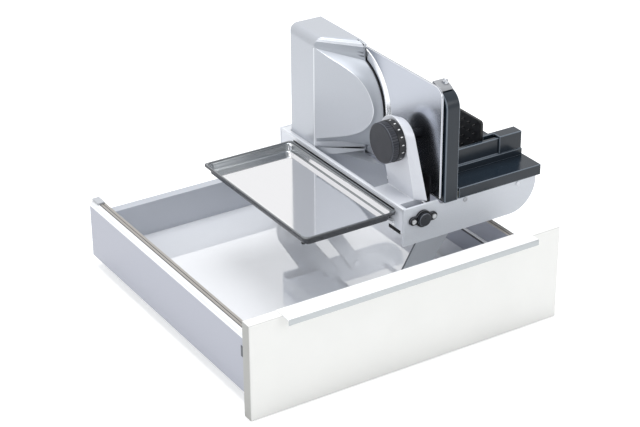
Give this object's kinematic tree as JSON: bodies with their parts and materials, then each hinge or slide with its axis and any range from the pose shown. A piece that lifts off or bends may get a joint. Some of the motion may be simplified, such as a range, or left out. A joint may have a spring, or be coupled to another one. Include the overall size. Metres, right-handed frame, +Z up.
{
  "type": "built-in food slicer",
  "caption": "Drawer with a food slicer on swinging lift arms: round blade, stop plate with knob, sliding carriage, remnant holder and slice tray.",
  "frame": {"origin": "middle of the front panel's lower edge, on its rear face, which meets the front edge of the cabinet", "axes": "+X to the right as seen from the front, +Y into the cabinet, +Z up"},
  "size_m": [0.5241, 0.508, 0.3566],
  "materials": {
    "rail_steel": "zinc plated",
    "side_metal": "satin silver lacquer",
    "cap_grey": "satin grey",
    "dark_grey": "fine grained dark grey",
    "floor_board": "pale glossy coating",
    "back_board": "satin grey",
    "front_white": "white gloss lacquer on board",
    "anodised": "satin anodised",
    "steel": "ground",
    "cast_silver": "silver metallic lacquer on a casting",
    "black_plastic": "satin black",
    "carriage_grey": "satin anthracite",
    "blade_steel": "ground and polished stainless steel",
    "bronze": "turned",
    "nylon": "natural",
    "tray_steel": "brushed stainless steel",
    "motor_can": "plain"
  },
  "bodies": {
    "cabinet_part": {"cabinet_rails": "rail_steel"},
    "middle_part": {"middle_rails": "rail_steel"},
    "drawer": {"drawer_runners": "rail_steel", "side_left": "side_metal", "side_right": "side_metal", "side_caps": "cap_grey", "side_clips": "dark_grey", "bottom_panel": "floor_board", "back_panel": "back_board", "front_panel": "front_white", "front_brackets": "rail_steel", "front_screws": "steel", "front_handle": "anodised", "floor_brackets": "steel", "floor_bolts": "steel", "lift_axles": "steel"},
    "lift": {"lift_arm_front": "cast_silver", "lift_arm_rear": "cast_silver"},
    "guide": {"guide_arm": "cast_silver"},
    "slicer": {"frame_front": "cast_silver", "frame_rear": "cast_silver", "frame_beam": "cast_silver", "frame_sill": "cast_silver", "arm_pins": "steel", "guide_rods": "steel", "rod_screws": "steel", "lock_flange": "black_plastic", "lock_screws": "steel", "motor_housing": "cast_silver", "back_plate": "cast_silver", "blade_rim": "cast_silver", "housing_screws": "steel", "motor": "motor_can", "motor_plate": "steel", "hub_bush": "bronze", "switch_block": "dark_grey", "cable_gland": "black_plastic", "knob_arm": "cast_silver"},
    "lock": {"lock_button": "dark_grey"},
    "blade_set": {"blade_hub": "steel", "worm_wheel": "nylon", "blade": "blade_steel", "blade_screw": "dark_grey"},
    "worm": {"motor_worm": "bronze"},
    "switch": {"switch_button": "dark_grey"},
    "knob": {"thickness_knob": "dark_grey", "dial_ring": "black_plastic"},
    "stop": {"stop_plate": "anodised", "stop_bracket": "steel", "stop_slides": "steel"},
    "carriage": {"carriage_deck": "carriage_grey", "carriage_glides": "nylon", "push_wall": "carriage_grey", "hand_guard": "carriage_grey"},
    "holder": {"remnant_holder": "carriage_grey", "press_plate": "black_plastic"},
    "tray": {"slice_tray": "tray_steel", "tray_hooks": "black_plastic"}
  },
  "joints": [
    {"name": "drawer_slide", "type": "slide", "parent": "cabinet_part", "child": "drawer", "axis": [0, -1, 0], "range_m": [0, 0.4]},
    {"name": "middle_slide", "type": "slide", "parent": "cabinet_part", "child": "middle_part", "axis": [0, -1, 0], "range_m": [0, 0.2]},
    {"name": "lift_swing", "type": "hinge", "parent": "drawer", "child": "lift", "pos_m": [0.048, 0.225, 0.058], "axis": [0, -1, 0], "range_deg": [0, 100]},
    {"name": "guide_swing", "type": "hinge", "parent": "drawer", "child": "guide", "pos_m": [0.112, 0.383, 0.058], "axis": [0, -1, 0], "range_deg": [0, 100]},
    {"name": "slicer_level", "type": "hinge", "parent": "lift", "child": "slicer", "pos_m": [0.11, 0.225, 0.15], "axis": [0, -1, 0], "range_deg": [-100, 0]},
    {"name": "lock_press", "type": "slide", "parent": "slicer", "child": "lock", "axis": [0, 1, 0], "range_m": [0, 0.003], "stiffness_N_per_m": 400},
    {"name": "blade_spin", "type": "hinge", "parent": "slicer", "child": "blade_set", "pos_m": [0.09, 0.2741, 0.2625], "axis": [1, 0, 0], "continuous": true},
    {"name": "worm_spin", "type": "hinge", "parent": "slicer", "child": "worm", "pos_m": [0.083, 0.3022, 0.2625], "axis": [0, 0, 1], "continuous": true},
    {"name": "switch_press", "type": "slide", "parent": "slicer", "child": "switch", "axis": [0, -1, 0], "range_m": [0, 0.002], "stiffness_N_per_m": 400},
    {"name": "knob_turn", "type": "hinge", "parent": "slicer", "child": "knob", "pos_m": [0.06, 0.1333, 0.2599], "axis": [1, 0, 0], "range_deg": [0, 300]},
    {"name": "stop_slide", "type": "slide", "parent": "slicer", "child": "stop", "axis": [-1, 0, 0], "range_m": [0, 0.014]},
    {"name": "carriage_slide", "type": "slide", "parent": "slicer", "child": "carriage", "axis": [0, 1, 0], "range_m": [0, 0.155]},
    {"name": "holder_slide", "type": "slide", "parent": "carriage", "child": "holder", "axis": [-1, 0, 0], "range_m": [0, 0.07]},
    {"name": "tray_lift", "type": "slide", "parent": "slicer", "child": "tray", "axis": [0, 0, 1], "range_m": [0, 0.03]}
  ],
  "couplings": [
    {"joint": "middle_slide", "follows": "drawer_slide", "ratio": 0.5},
    {"joint": "guide_swing", "follows": "lift_swing", "ratio": 1},
    {"joint": "slicer_level", "follows": "lift_swing", "ratio": -1},
    {"joint": "worm_spin", "follows": "blade_spin", "ratio": -40},
    {"joint": "knob_turn", "follows": "stop_slide", "rad_per_m": 373.99}
  ]
}
